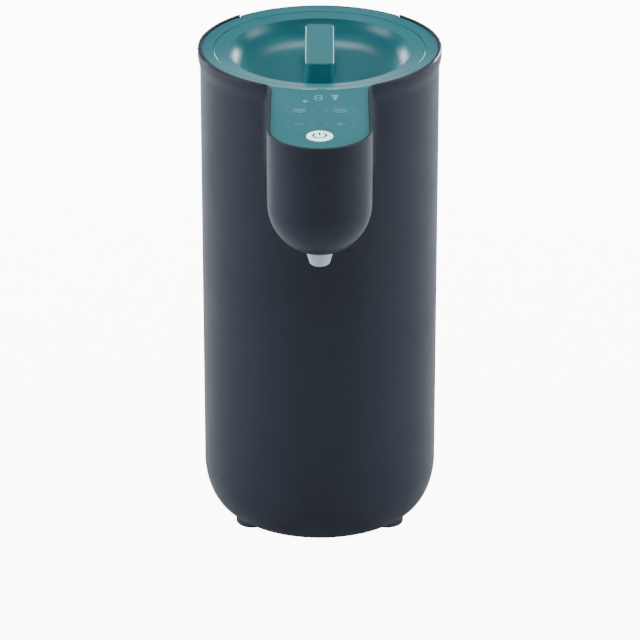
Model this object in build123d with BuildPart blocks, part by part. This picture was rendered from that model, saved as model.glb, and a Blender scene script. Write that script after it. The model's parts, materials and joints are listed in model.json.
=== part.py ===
"""Countertop formula dispenser: round body, spout arm, lidded powder hopper and rear water tank.

Millimetres. +Z is up and -Y is the front. The origin is on the floor, under the middle of the
whole footprint, so the round body's axis stands BODY_Y behind it. A depth "d" counts forward from
that axis.
"""

import os
from math import acos, cos, pi, sin, tan

from build123d import *

os.makedirs("parts", exist_ok=True)

# ---- Driving dimensions -------------------------------------------------------------------
RIM_Z = 260.0  # top of the body's rim above the floor
SIDE_R = 60.8  # outer radius of the straight side
LIP_R = 62.0  # outer radius of the flared lip
FLARE_Z, LIP_Z = 249.0, 257.0  # the side flares out to the lip between these heights
WALL = 2.4
ARM_D = 113.5  # spout arm: its round nose is centred this far in front of the body's axis
ARM_R = 25.5  # half of the arm's width, and the radius of its nose and its underside
ARM_Z = 221.6  # height of the centre line of the arm's rounded underside
BODY_Y = (ARM_D + ARM_R - LIP_R) / 2  # centres the footprint on the origin

BASE_Z = 4.0  # underside of the body, on feet of this height
ROUND_W, ROUND_H = 14.0, 26.0  # elliptical rounding at the foot of the side
FOOT_R = 8.5
FOOT_X, FOOT_D = 35.6, 22.0

PLATE_Z, COVER_Z = 256.2, 259.2  # underside and top of the teal top cover
COVER_R = 59.9
WELL_R = 54.0  # round well in the cover that takes the lid
TONGUE_W = 24.0  # half width of the cover's tongue on the arm
BLEND_R = 8.0  # where the ring runs into the tongue
NOTCH_X, NOTCH_Z = 41.1, 250.0  # notch in the rear of the rim, filled by the cover

LID_R = 53.7
DISH_R, DISH_Z, DISH_FLOOR_Z, DISH_FLOOR_R = 46.5, 257.3, 246.0, 26.0
BAR_L, BAR_W, BAR_Z = 56.6, 14.5, 261.0

DECK_Z, SHELF_Z, DECK_T = 180.0, 40.0, 2.5
SPLIT_Z = 181.0  # where the body and the head of the shell meet
BAY_D = 12.0  # front face of the tank bay's partition, behind the axis
BAY_X = 41.6  # half width of the opening in the rear of the shell
FRAME_T = 2.0  # thickness of the bay's walls

HOPPER_R, HOPPER_WALL = 46.5, 1.8
HOPPER_Z, LEDGE_Z = 246.5, 242.5  # top of the hopper's flange, underside of the cover's ledge
LEDGE_T = 2.0
AUGER_Z = 225.0
AUGER_R, SHAFT_R = 9.0, 3.0
RUNNING_GAP = 0.05  # radial clearance of a turning shaft
GEAR_MODULE, GEAR_TEETH, PINION_TEETH = 0.8, 40, 18
MOTOR_Z = AUGER_Z - GEAR_MODULE * (GEAR_TEETH + PINION_TEETH) / 2
PLATE_D, PLATE_T = 46.8, 1.8  # front of the gear plate, behind the axis
GEAR_D, GEAR_T = 49.2, 4.0

BUTTON_D, BUTTON_R = 120.5, 6.35
BOARD_Z, BOARD_T = 246.0, 1.6
NOZZLE_TIP_Z = 189.6
VALVE_Z = 53.0
HOSE_R, HOSE_BORE = 3.5, 2.2
PUMP_X, PUMP_D, PUMP_W = -29.5, 24.0, 26.0
HEATER_X, HEATER_R = 24.0, 12.0
INLET_Z = 25.0

BODY_AXIS = Axis((0, BODY_Y, 0), (0, 0, 1))


# ---- Placing helpers ----------------------------------------------------------------------
def level(z):
    """Horizontal plane at height z, centred on the body's axis, with -y to the front."""
    return Plane((0, BODY_Y, z))


def upright(d):
    """Vertical plane d in front of the body's axis: x across, y up, extruding to the front."""
    return Plane((0, BODY_Y - d, 0), x_dir=(1, 0, 0), z_dir=(0, -1, 0))


def spot(x, d, z):
    """A point x across, d in front of the body's axis, at height z."""
    return (x, BODY_Y - d, z)


def keyhole(ring_r, half_w, nose_r, blend_r):
    """Plan of the round body and its arm in one outline."""
    with BuildSketch(Plane.XY) as outline:
        Circle(ring_r)
        with Locations((0, -ARM_D / 2)):
            Rectangle(2 * half_w, ARM_D)
        with Locations((0, -ARM_D)):
            Circle(nose_r)
        inner = outline.vertices().filter_by(lambda v: -(ARM_D + ring_r) / 2 < v.Y < -ring_r / 2)
        fillet(inner, blend_r)
    return outline.sketch


# ---- Shell: body and head with the spout arm ----------------------------------------------
INNER_R = SIDE_R - WALL
SEAT_GAP = 0.15  # round the top cover in its seat
RIM_ROUND = 0.8
LIP_ROOT = 1.0  # how deep the lip is rooted in the side
ARM_BLEND = 6.5  # where the arm's sides run into the body
ARM_WALL = 2.3
NOZZLE_HOLE_R, NOZZLE_HOLE_LOW, NOZZLE_HOLE_HIGH = 7.6, 190.0, 203.9
BASE_HOLE_R = 45.0
INLET_HOLE_R = 5.6
WINDOW_GAP = 2.0  # sill of the tank's window above the shelf's underside
SAME = 0.05  # two lengths this close count as one


def body_profile(side_r, round_w, round_h, base_z, top_z):
    """Solid of revolution with a rounded foot, outside or inside of the shell."""
    flat_r = side_r - round_w
    with BuildPart() as body:
        with BuildSketch(upright(0)):
            with BuildLine():
                Line((0, base_z), (flat_r, base_z))
                EllipticalCenterArc(
                    (flat_r, base_z + round_h), round_w, round_h, start_angle=270, arc_size=90
                )
                Line((side_r, base_z + round_h), (side_r, top_z))
                Line((side_r, top_z), (0, top_z))
                Line((0, top_z), (0, base_z))
            make_face()
        revolve(axis=BODY_AXIS)
    return body.part


def arm_solid(half_w, top_z):
    """Arm with a round nose and a half-round underside."""
    with BuildPart() as arm:
        with BuildSketch(level(ARM_Z)):
            with Locations((0, -ARM_D / 2)):
                Rectangle(2 * half_w, ARM_D)
            with Locations((0, -ARM_D)):
                Circle(half_w)
        extrude(amount=top_z - ARM_Z)
        with BuildSketch(upright(0)):
            with Locations((0, ARM_Z)):
                Circle(half_w)
        extrude(amount=ARM_D)
        with Locations(spot(0, ARM_D, ARM_Z)):
            Sphere(half_w)
    return arm.part


def lip_ring():
    """Flared lip round the rim."""
    inner_r = SIDE_R - LIP_ROOT
    with BuildPart() as ring:
        with BuildSketch(upright(0)):
            with BuildLine():
                Line((inner_r, FLARE_Z), (SIDE_R, FLARE_Z))
                Spline((SIDE_R, FLARE_Z), (LIP_R, LIP_Z), tangents=[(0, 1), (0, 1)])
                Line((LIP_R, LIP_Z), (LIP_R, RIM_Z - RIM_ROUND))
                RadiusArc((LIP_R, RIM_Z - RIM_ROUND), (LIP_R - RIM_ROUND, RIM_Z), -RIM_ROUND)
                Line((LIP_R - RIM_ROUND, RIM_Z), (inner_r, RIM_Z))
                Line((inner_r, RIM_Z), (inner_r, FLARE_Z))
            make_face()
        revolve(axis=BODY_AXIS)
    return ring.part


def on_arm_joint(edge):
    """True for the upright edges where the arm's sides meet the round body."""
    middle = edge @ 0.5
    from_axis = (middle - Vector(0, BODY_Y, middle.Z)).length
    in_front = middle.Y < BODY_Y - SIDE_R / 2
    on_side = abs(from_axis - SIDE_R) < SAME and abs(middle.X) <= ARM_R + SAME
    return on_side and in_front and DECK_Z < middle.Z < LIP_Z


shell_core = body_profile(SIDE_R, ROUND_W, ROUND_H, BASE_Z, RIM_Z)
shell_room = body_profile(INNER_R, ROUND_W - WALL, ROUND_H - WALL, BASE_Z + WALL, PLATE_Z)
arm_outer = arm_solid(ARM_R, RIM_Z)
arm_inner = arm_solid(ARM_R - ARM_WALL, PLATE_Z)
shell_lip = lip_ring()

with BuildPart() as whole_shell:
    add(shell_core)
    add(arm_outer)
    fillet(whole_shell.edges().filter_by(on_arm_joint), ARM_BLEND)
    add(shell_lip)
    # hollow
    add(shell_room, mode=Mode.SUBTRACT)
    add(arm_inner, mode=Mode.SUBTRACT)
    # seat for the top cover
    with BuildSketch(level(PLATE_Z)):
        seat_w = TONGUE_W + SEAT_GAP
        add(keyhole(COVER_R + SEAT_GAP, seat_w, seat_w, BLEND_R - SEAT_GAP))
    extrude(until=Until.LAST, mode=Mode.SUBTRACT)
    # opening for the base cover
    with BuildSketch(level(0)):
        Circle(BASE_HOLE_R)
    extrude(amount=BASE_Z + 2 * WALL, mode=Mode.SUBTRACT)
    # window for the water tank, and the notch in the rim above it
    with BuildSketch(upright(-SIDE_R / 2)):
        with Locations((0, (SHELF_Z + WINDOW_GAP + DECK_Z) / 2)):
            Rectangle(2 * BAY_X, DECK_Z - SHELF_Z - WINDOW_GAP)
        with Locations((0, NOTCH_Z)):
            Rectangle(2 * NOTCH_X, RIM_Z, align=(Align.CENTER, Align.MIN))
    extrude(amount=-SIDE_R, mode=Mode.SUBTRACT)
    # hole for the power inlet
    with BuildSketch(upright(-SIDE_R / 2)):
        with Locations((0, INLET_Z)):
            Circle(INLET_HOLE_R)
    extrude(amount=-SIDE_R, mode=Mode.SUBTRACT)
    # hole for the nozzle
    with BuildSketch(level(NOZZLE_HOLE_LOW)):
        with Locations((0, -ARM_D)):
            Circle(NOZZLE_HOLE_R)
    extrude(amount=NOZZLE_HOLE_HIGH - NOZZLE_HOLE_LOW, mode=Mode.SUBTRACT)

# The shell is two mouldings that meet flush above the tank's window.
for shell_name, kept_side in (("body_shell", Keep.BOTTOM), ("head_shell", Keep.TOP)):
    with BuildPart() as shell_half:
        add(whole_shell.part)
        split(bisect_by=level(SPLIT_Z), keep=kept_side)
    shell_half.part.label = shell_name
    export_step(shell_half.part, f"parts/{shell_name}.step")

# ---- Base cover, its screws and the feet --------------------------------------------------
BASE_COVER_R, BASE_COVER_T = 44.7, 2.6
INSIDE_Z = BASE_Z + BASE_COVER_T  # top of the base cover
VENTS, VENT_STEP, VENT_L, VENT_W = 5, 9.0, 22.0, 3.0
POST_XY = 21.0  # the frame's four posts stand at the corners of a square
SCREW_HEAD_R, SCREW_HEAD_T = 3.0, 1.4
SCREW_R, SCREW_L, SCREW_HOLE_R = 1.5, 12.0, 1.7
SCREW_SINK = 0.2  # how far the screw's head lies below the cover's face
SINK_GAP = 0.3  # round the head
CROSS_L, CROSS_W, CROSS_DEPTH = 3.6, 0.8, 0.8
FOOT_ROUND = 1.2

with BuildPart() as base_cover:
    with BuildSketch(level(BASE_Z)):
        Circle(BASE_COVER_R)
        with GridLocations(VENT_STEP, 1, VENTS, 1):
            SlotOverall(VENT_L, VENT_W, rotation=90, mode=Mode.SUBTRACT)
    extrude(amount=BASE_COVER_T)
    with BuildSketch(level(BASE_Z)):
        with GridLocations(2 * POST_XY, 2 * POST_XY, 2, 2):
            Circle(SCREW_HOLE_R)
    extrude(amount=BASE_COVER_T, mode=Mode.SUBTRACT)
    with BuildSketch(level(BASE_Z)):
        with GridLocations(2 * POST_XY, 2 * POST_XY, 2, 2):
            Circle(SCREW_HEAD_R + SINK_GAP)
    extrude(amount=SCREW_SINK + SCREW_HEAD_T, mode=Mode.SUBTRACT)
base_cover.part.label = "base_cover"
export_step(base_cover.part, "parts/base_cover.step")

with BuildPart() as base_screws:
    with BuildSketch(level(BASE_Z + SCREW_SINK)):
        with GridLocations(2 * POST_XY, 2 * POST_XY, 2, 2):
            Circle(SCREW_HEAD_R)
    extrude(amount=SCREW_HEAD_T)
    with BuildSketch(level(BASE_Z + SCREW_SINK + SCREW_HEAD_T)):
        with GridLocations(2 * POST_XY, 2 * POST_XY, 2, 2):
            Circle(SCREW_R)
    extrude(amount=SCREW_L)
    with BuildSketch(level(BASE_Z + SCREW_SINK)):
        with GridLocations(2 * POST_XY, 2 * POST_XY, 2, 2):
            Rectangle(CROSS_L, CROSS_W)
            Rectangle(CROSS_W, CROSS_L)
    extrude(amount=CROSS_DEPTH, mode=Mode.SUBTRACT)
base_screws.part.label = "base_screws"
export_step(base_screws.part, "parts/base_screws.step")

with BuildPart() as feet:
    with BuildSketch(level(0)):
        with GridLocations(2 * FOOT_X, 2 * FOOT_D, 2, 2):
            Circle(FOOT_R)
    extrude(amount=BASE_Z)
    fillet(feet.edges().group_by(Axis.Z)[0], FOOT_ROUND)
feet.part.label = "feet"
export_step(feet.part, "parts/feet.step")

# ---- Inner frame: shelf, tank bay and deck ------------------------------------------------
FRAME_R = 58.0
SIDE_X = 42.2  # inner face of the bay's side walls
BAY_WALL_L = 28.0
POST_R = 4.2
SOCKET_R, HOSE_HOLE_R = 6.4, 5.0
CABLE_SLOT_D, CABLE_SLOT_L, CABLE_SLOT_W = 50.0, 22.0, 8.0
FLOOR_Z = SHELF_Z + DECK_T  # top of the frame's shelf, which carries pump and heater

with BuildPart() as frame_limit:
    with BuildSketch(level(BASE_Z)):
        Circle(FRAME_R)
    extrude(amount=RIM_Z)

with BuildPart() as inner_frame:
    with BuildSketch(level(SHELF_Z)):
        Circle(FRAME_R)
    extrude(amount=DECK_T)
    with BuildSketch(level(DECK_Z)):
        Circle(FRAME_R)
    extrude(amount=DECK_T)
    # the bay's partition and side walls
    with BuildSketch(level(FLOOR_Z)):
        with Locations((0, BAY_D + FRAME_T / 2)):
            Rectangle(2 * FRAME_R, FRAME_T)
        with Locations((-SIDE_X - FRAME_T / 2, BAY_D), (SIDE_X + FRAME_T / 2, BAY_D)):
            Rectangle(FRAME_T, BAY_WALL_L, align=(Align.CENTER, Align.MIN))
    extrude(amount=DECK_Z - FLOOR_Z)
    # posts on the base cover
    with BuildSketch(level(INSIDE_Z)):
        with GridLocations(2 * POST_XY, 2 * POST_XY, 2, 2):
            Circle(POST_R)
    extrude(amount=SHELF_Z - INSIDE_Z)
    add(frame_limit.part, mode=Mode.INTERSECT)
    with BuildSketch(level(INSIDE_Z)):
        with GridLocations(2 * POST_XY, 2 * POST_XY, 2, 2):
            Circle(SCREW_R)
    extrude(amount=SCREW_L, mode=Mode.SUBTRACT)
    # hole for the tank's socket, hole for the hot hose and slots for the wires
    with BuildSketch(upright(-BAY_D)):
        with Locations((0, VALVE_Z)):
            Circle(SOCKET_R)
    extrude(amount=-FRAME_T, mode=Mode.SUBTRACT)
    with BuildSketch(level(DECK_Z)):
        with Locations((HEATER_X, -PUMP_D)):
            Circle(HOSE_HOLE_R)
        with Locations((0, -CABLE_SLOT_D)):
            SlotOverall(CABLE_SLOT_L, CABLE_SLOT_W)
    extrude(amount=DECK_T, mode=Mode.SUBTRACT)
    with BuildSketch(level(SHELF_Z)):
        with Locations((0, -CABLE_SLOT_D)):
            SlotOverall(CABLE_SLOT_L, CABLE_SLOT_W)
    extrude(amount=DECK_T, mode=Mode.SUBTRACT)
inner_frame.part.label = "inner_frame"
export_step(inner_frame.part, "parts/inner_frame.step")

# ---- Top cover ----------------------------------------------------------------------------
APRON_IN_R = 58.0
APRON_GAP, APRON_SIDE_GAP = 0.3, 0.2  # above the notch's sill, and at its two sides
# outer face of the apron, as (inwards from the lip's radius, height)
APRON_SKIN = [(1.1, NOTCH_Z + APRON_GAP), (0.4, 254.5), (0.1, 257.5), (0.1, 258.5), (0.8, COVER_Z)]
WELL_WALL = 1.6
LEDGE_R = 51.0  # inner edge of the ledge that carries the hopper
COVER_ROUND = 0.4
BUTTON_GAP = 0.25
BOARD_POSTS = [(-15.5, -66), (15.5, -66), (-13, -118), (13, -118)]
BOARD_POST_R, BOARD_SCREW_R, BOARD_SCREW_L = 2.2, 1.0, 6.0
RING_FALL = (COVER_Z - DISH_Z) / (COVER_R - DISH_R)  # the ring falls towards the dish all round


def ring_z(r):
    """Height of the ring's sloping top at radius r."""
    return COVER_Z - (COVER_R - r) * RING_FALL


with BuildPart() as rear_apron:
    with BuildSketch(upright(0)):
        with BuildLine():
            Polyline(
                (APRON_IN_R, NOTCH_Z + APRON_GAP), *[(LIP_R - inset, z) for inset, z in APRON_SKIN],
                (APRON_IN_R, COVER_Z), (APRON_IN_R, NOTCH_Z + APRON_GAP),
            )
        make_face()
    revolve(axis=BODY_AXIS)
    with BuildSketch(level(NOTCH_Z)):
        with Locations((0, SIDE_R)):
            Rectangle(2 * (NOTCH_X - APRON_SIDE_GAP), SIDE_R)
    extrude(amount=RIM_Z - NOTCH_Z, mode=Mode.INTERSECT)

with BuildPart() as top_cover:
    with BuildSketch(level(PLATE_Z)):
        add(keyhole(COVER_R, TONGUE_W, TONGUE_W, BLEND_R))
    extrude(amount=COVER_Z - PLATE_Z)
    fillet(top_cover.edges().group_by(Axis.Z)[-1], COVER_ROUND)
    add(rear_apron.part)
    # collar of the lid's well with an inward ledge for the hopper
    with BuildSketch(level(LEDGE_Z)):
        Circle(WELL_R + WELL_WALL)
    extrude(amount=PLATE_Z - LEDGE_Z)
    with BuildSketch(level(LEDGE_Z + LEDGE_T)):
        Circle(WELL_R)
    extrude(amount=RIM_Z - LEDGE_Z, mode=Mode.SUBTRACT)
    with BuildSketch(level(LEDGE_Z)):
        Circle(LEDGE_R)
    extrude(amount=LEDGE_T, mode=Mode.SUBTRACT)
    # sloping top of the ring
    with BuildSketch(upright(0)):
        with BuildLine():
            Polyline(
                (0, ring_z(0)), (COVER_R - COVER_ROUND, ring_z(COVER_R - COVER_ROUND)),
                (COVER_R - COVER_ROUND, RIM_Z), (0, RIM_Z), (0, ring_z(0)),
            )
        make_face()
    revolve(axis=BODY_AXIS, mode=Mode.SUBTRACT)
    # bore for the power button and posts for the control board
    with BuildSketch(level(PLATE_Z)):
        with Locations((0, -BUTTON_D)):
            Circle(BUTTON_R + BUTTON_GAP)
    extrude(amount=COVER_Z - PLATE_Z, mode=Mode.SUBTRACT)
    with BuildSketch(level(BOARD_Z + BOARD_T)):
        with Locations(BOARD_POSTS):
            Circle(BOARD_POST_R)
    extrude(amount=PLATE_Z - BOARD_Z - BOARD_T)
    with BuildSketch(level(BOARD_Z + BOARD_T)):
        with Locations(BOARD_POSTS):
            Circle(BOARD_SCREW_R)
    extrude(amount=BOARD_SCREW_L, mode=Mode.SUBTRACT)
top_cover.part.label = "top_cover"
export_step(top_cover.part, "parts/top_cover.step")

# ---- Lid with its bar handle and gasket ---------------------------------------------------
LID_T = 2.0
LID_EDGE = 0.2  # small chamfer beside the groove
SKIRT_Z = 249.3
DISH_WALL_R, DISH_WALL_Z = 40.0, 249.2  # a point half way up the dish's wall
UNDER_WALL_R, UNDER_WALL_Z = 41.5, 247.4  # the same point on the wall's underside
DISH_LEAN = 0.25  # how far the dish's wall leans outwards at its edge, across for each up
BAR_CORNER, BAR_ROUND = 3.0, 0.8
GASKET_IN_R, GASKET_OUT_R, GASKET_LIP_R = 49.0, 53.6, 50.7
GASKET_T, GASKET_GAP = 1.0, 0.3

with BuildPart() as lid:
    with BuildSketch(upright(0)):
        with BuildLine():
            skirt_r = LID_R - LID_T
            Line((0, DISH_FLOOR_Z), (DISH_FLOOR_R, DISH_FLOOR_Z))
            Spline(
                (DISH_FLOOR_R, DISH_FLOOR_Z), (DISH_WALL_R, DISH_WALL_Z), (DISH_R, DISH_Z),
                tangents=[(1, 0), (DISH_LEAN, 1)],
            )
            Line((DISH_R, DISH_Z), (LID_R - LID_EDGE, ring_z(LID_R - LID_EDGE)))
            Line((LID_R - LID_EDGE, ring_z(LID_R - LID_EDGE)), (LID_R, ring_z(LID_R) - LID_EDGE))
            Line((LID_R, ring_z(LID_R) - LID_EDGE), (LID_R, SKIRT_Z))
            Line((LID_R, SKIRT_Z), (skirt_r, SKIRT_Z))
            Line((skirt_r, SKIRT_Z), (skirt_r, ring_z(skirt_r) - LID_T))
            Line((skirt_r, ring_z(skirt_r) - LID_T), (DISH_R + LID_T, DISH_Z - LID_T))
            Spline(
                (DISH_R + LID_T, DISH_Z - LID_T), (UNDER_WALL_R, UNDER_WALL_Z),
                (DISH_FLOOR_R, DISH_FLOOR_Z - LID_T), tangents=[(-DISH_LEAN, -1), (-1, 0)],
            )
            Line((DISH_FLOOR_R, DISH_FLOOR_Z - LID_T), (0, DISH_FLOOR_Z - LID_T))
            Line((0, DISH_FLOOR_Z - LID_T), (0, DISH_FLOOR_Z))
        make_face()
    revolve(axis=BODY_AXIS)
    with BuildSketch(level(DISH_FLOOR_Z - LID_T / 2)):
        RectangleRounded(BAR_W, BAR_L, BAR_CORNER)
    extrude(amount=BAR_Z - DISH_FLOOR_Z + LID_T / 2)
    fillet(lid.edges().group_by(Axis.Z)[-1], BAR_ROUND)
lid.part.label = "lid"
export_step(lid.part, "parts/lid.step")

with BuildPart() as lid_gasket:
    gasket_z = HOPPER_Z + GASKET_GAP
    with BuildSketch(level(gasket_z)):
        Circle(GASKET_OUT_R)
        Circle(GASKET_IN_R, mode=Mode.SUBTRACT)
    extrude(amount=GASKET_T)
    with BuildSketch(level(gasket_z + GASKET_T)):
        Circle(GASKET_OUT_R)
        Circle(GASKET_LIP_R, mode=Mode.SUBTRACT)
    extrude(amount=SKIRT_Z - gasket_z - GASKET_T)
lid_gasket.part.label = "lid_gasket"
export_step(lid_gasket.part, "parts/lid_gasket.step")

# ---- Powder hopper ------------------------------------------------------------------------
TROUGH_R, TUBE_R, BUSH_R = 9.5, 11.0, 5.0
FLOOR_IN_Z, FLOOR_OUT_Z = 222.0, 229.5  # the V floor's height beside the trough and at its edge
FLOOR_EDGE_X = 50.5
HOPPER_LOW_Z = 200.0  # below everything that the hopper has
FLANGE_R = 53.6


def hopper_section(wall):
    """V floor with a half-round trough under the auger, grown by wall, as a long prism."""
    with BuildPart() as prism:
        with BuildSketch(upright(-LIP_R)):
            with BuildLine():
                Polyline(
                    (-FLOOR_EDGE_X, HOPPER_Z), (-FLOOR_EDGE_X, FLOOR_OUT_Z - wall),
                    (-AUGER_R, FLOOR_IN_Z - wall), (AUGER_R, FLOOR_IN_Z - wall),
                    (FLOOR_EDGE_X, FLOOR_OUT_Z - wall), (FLOOR_EDGE_X, HOPPER_Z),
                    (-FLOOR_EDGE_X, HOPPER_Z),
                )
            make_face()
            with Locations((0, AUGER_Z)):
                Circle(TROUGH_R + wall)
        extrude(amount=2 * LIP_R)
    return prism.part


hopper_inner, hopper_outer = hopper_section(0), hopper_section(HOPPER_WALL)

with BuildPart() as hopper_hollow:
    with BuildSketch(level(HOPPER_LOW_Z)):
        Circle(HOPPER_R - HOPPER_WALL)
    extrude(amount=RIM_Z - HOPPER_LOW_Z)
    add(hopper_inner, mode=Mode.INTERSECT)

with BuildPart() as hopper:
    with BuildSketch(level(HOPPER_LOW_Z)):
        Circle(HOPPER_R)
    extrude(amount=HOPPER_Z - HOPPER_LOW_Z)
    add(hopper_outer, mode=Mode.INTERSECT)
    with BuildSketch(level(LEDGE_Z + LEDGE_T)):
        Circle(FLANGE_R)
    extrude(amount=HOPPER_Z - LEDGE_Z - LEDGE_T)
    add(hopper_hollow.part, mode=Mode.SUBTRACT)
    with BuildSketch(level(LEDGE_Z)):
        Circle(HOPPER_R - HOPPER_WALL)
    extrude(amount=HOPPER_Z - LEDGE_Z, mode=Mode.SUBTRACT)
    # ways out for the auger: its tube in front, its bush behind
    with BuildSketch(upright(HOPPER_R / 2)):
        with Locations((0, AUGER_Z)):
            Circle(TUBE_R)
    extrude(amount=HOPPER_R, mode=Mode.SUBTRACT)
    with BuildSketch(upright(-HOPPER_R / 2)):
        with Locations((0, AUGER_Z)):
            Circle(BUSH_R)
    extrude(amount=-HOPPER_R, mode=Mode.SUBTRACT)
hopper.part.label = "hopper"
export_step(hopper.part, "parts/hopper.step")

# ---- Auger, its tube and bush -------------------------------------------------------------
TUBE_START, TUBE_END, TUBE_CAP = 44.0, 119.0, 3.0
AUGER_BACK, FLIGHT_START, FLIGHT_END = -54.0, -40.0, 112.0
FLIGHT_PITCH, FLIGHT_T = 14.0, 1.8
FLIGHT_ROOT = 0.6  # how deep the flight is rooted in the shaft
OUTLET_D, OUTLET_X, OUTLET_L = 110.0, 13.0, 11.0  # the tube's outlet over the funnel
BUSH_L = 4.4

with BuildPart() as auger_tube:
    with BuildSketch(upright(TUBE_START)):
        with Locations((0, AUGER_Z)):
            Circle(TUBE_R)
    extrude(amount=TUBE_END - TUBE_START)
    with BuildSketch(upright(TUBE_START)):
        with Locations((0, AUGER_Z)):
            Circle(TROUGH_R)
    extrude(amount=TUBE_END - TUBE_START - TUBE_CAP, mode=Mode.SUBTRACT)
    with BuildSketch(upright(TUBE_START)):
        with Locations((0, AUGER_Z)):
            Circle(SHAFT_R + RUNNING_GAP)
    extrude(amount=TUBE_END - TUBE_START, mode=Mode.SUBTRACT)
    with BuildSketch(level(AUGER_Z)):
        with Locations((0, -OUTLET_D)):
            Rectangle(OUTLET_X, OUTLET_L)
    extrude(amount=-TUBE_R, mode=Mode.SUBTRACT)
auger_tube.part.label = "auger_tube"
export_step(auger_tube.part, "parts/auger_tube.step")

with BuildPart() as feed_auger:
    with BuildSketch(upright(AUGER_BACK)):
        with Locations((0, AUGER_Z)):
            Circle(SHAFT_R)
    extrude(amount=TUBE_END - AUGER_BACK)
    with BuildLine() as flight_path:
        Helix(
            FLIGHT_PITCH, FLIGHT_END - FLIGHT_START, (SHAFT_R + AUGER_R - FLIGHT_ROOT) / 2,
            center=spot(0, FLIGHT_START, AUGER_Z), direction=(0, -1, 0),
        )
    flight_start = flight_path.line @ 0
    inward = Vector(*spot(0, FLIGHT_START, AUGER_Z)) - flight_start
    with BuildSketch(Plane(flight_start, x_dir=inward, z_dir=flight_path.line % 0)):
        Rectangle(AUGER_R - SHAFT_R + FLIGHT_ROOT, FLIGHT_T)
    sweep(path=flight_path.line, is_frenet=True)
feed_auger.part.label = "feed_auger"
export_step(feed_auger.part, "parts/feed_auger.step")

with BuildPart() as auger_bush:
    with BuildSketch(upright(-PLATE_D - PLATE_T)):
        with Locations((0, AUGER_Z)):
            Circle(BUSH_R)
            Circle(SHAFT_R + RUNNING_GAP, mode=Mode.SUBTRACT)
    extrude(amount=BUSH_L)
auger_bush.part.label = "auger_bush"
export_step(auger_bush.part, "parts/auger_bush.step")

# ---- Gear train and motor -----------------------------------------------------------------
PRESSURE = 20 * pi / 180
BACKLASH = 0.12
DEDENDUM = 1.25  # in modules
FLANK_STEPS = 4
GEAR_HOLES, GEAR_HOLE_R, GEAR_HOLES_R = 6, 2.8, 9.5
MOTOR_R, MOTOR_L, MOTOR_CHAMFER = 11.4, 44.0, 1.0
MOTOR_NOSE_R = 4.0
MOTOR_SHAFT_R, MOTOR_SHAFT_L, MOTOR_BORE_L = 1.5, 16.0, 14.0
SHAFT_PROUD = 0.5  # behind the pinion
GEAR_PLATE_W, GEAR_PLATE_TOP, GEAR_PLATE_FOOT = 40.0, 238.0, 8.0


def involute(r, base_r):
    """Involute angle at radius r."""
    a = acos(min(1.0, base_r / r))
    return tan(a) - a


def gear_face(teeth, centre_z, bore_r):
    """Spur gear outline round (0, centre_z) on an upright sketch plane."""
    pitch_r = GEAR_MODULE * teeth / 2
    root_r, tip_r = pitch_r - DEDENDUM * GEAR_MODULE, pitch_r + GEAR_MODULE
    base_r = pitch_r * cos(PRESSURE)
    half = pi / (2 * teeth) - BACKLASH / (2 * pitch_r) + involute(pitch_r, base_r)
    low_r = max(base_r, root_r)
    flank = [low_r + (tip_r - low_r) * i / FLANK_STEPS for i in range(FLANK_STEPS + 1)]
    upper = [(r * cos(half - involute(r, base_r)), r * sin(half - involute(r, base_r))) for r in flank]
    lower = [(x, -y) for x, y in upper]
    foot = root_r - GEAR_MODULE / 2
    with BuildSketch(Plane.XY) as tooth:
        with BuildLine():
            Spline(*upper)
            Line(upper[-1], lower[-1])
            Spline(*lower)
            Line(lower[0], (foot, lower[0][1]))
            Line((foot, lower[0][1]), (foot, upper[0][1]))
            Line((foot, upper[0][1]), upper[0])
        make_face()
    with BuildSketch(Plane.XY) as gear:
        with Locations((0, centre_z)):
            Circle(root_r)
            with PolarLocations(0, teeth):
                add(tooth.sketch)
            Circle(bore_r, mode=Mode.SUBTRACT)
    return gear.sketch


with BuildPart() as auger_gear:
    with BuildSketch(upright(-GEAR_D)):
        add(gear_face(GEAR_TEETH, AUGER_Z, SHAFT_R))
    extrude(amount=-GEAR_T)
    with BuildSketch(upright(-GEAR_D)):
        with Locations((0, AUGER_Z)):
            with PolarLocations(GEAR_HOLES_R, GEAR_HOLES):
                Circle(GEAR_HOLE_R)
    extrude(amount=-GEAR_T, mode=Mode.SUBTRACT)
auger_gear.part.label = "auger_gear"
export_step(auger_gear.part, "parts/auger_gear.step")

with BuildPart() as motor_pinion:
    with BuildSketch(upright(-GEAR_D)):
        add(gear_face(PINION_TEETH, MOTOR_Z, MOTOR_SHAFT_R))
    extrude(amount=-GEAR_T)
motor_pinion.part.label = "motor_pinion"
export_step(motor_pinion.part, "parts/motor_pinion.step")

with BuildPart() as motor_shaft:
    with BuildSketch(upright(-GEAR_D - GEAR_T - SHAFT_PROUD)):
        with Locations((0, MOTOR_Z)):
            Circle(MOTOR_SHAFT_R)
    extrude(amount=MOTOR_SHAFT_L)
motor_shaft.part.label = "motor_shaft"
export_step(motor_shaft.part, "parts/motor_shaft.step")

with BuildPart() as dosing_motor:
    with BuildSketch(upright(-PLATE_D)):
        with Locations((0, MOTOR_Z)):
            Circle(MOTOR_R)
    extrude(amount=MOTOR_L)
    chamfer(dosing_motor.edges().group_by(Axis.Y)[0], MOTOR_CHAMFER)
    with BuildSketch(upright(-PLATE_D - PLATE_T)):
        with Locations((0, MOTOR_Z)):
            Circle(MOTOR_NOSE_R)
    extrude(amount=PLATE_T)
    with BuildSketch(upright(-PLATE_D - PLATE_T)):
        with Locations((0, MOTOR_Z)):
            Circle(MOTOR_SHAFT_R + RUNNING_GAP)
    extrude(amount=MOTOR_BORE_L, mode=Mode.SUBTRACT)
dosing_motor.part.label = "dosing_motor"
export_step(dosing_motor.part, "parts/dosing_motor.step")

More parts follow.
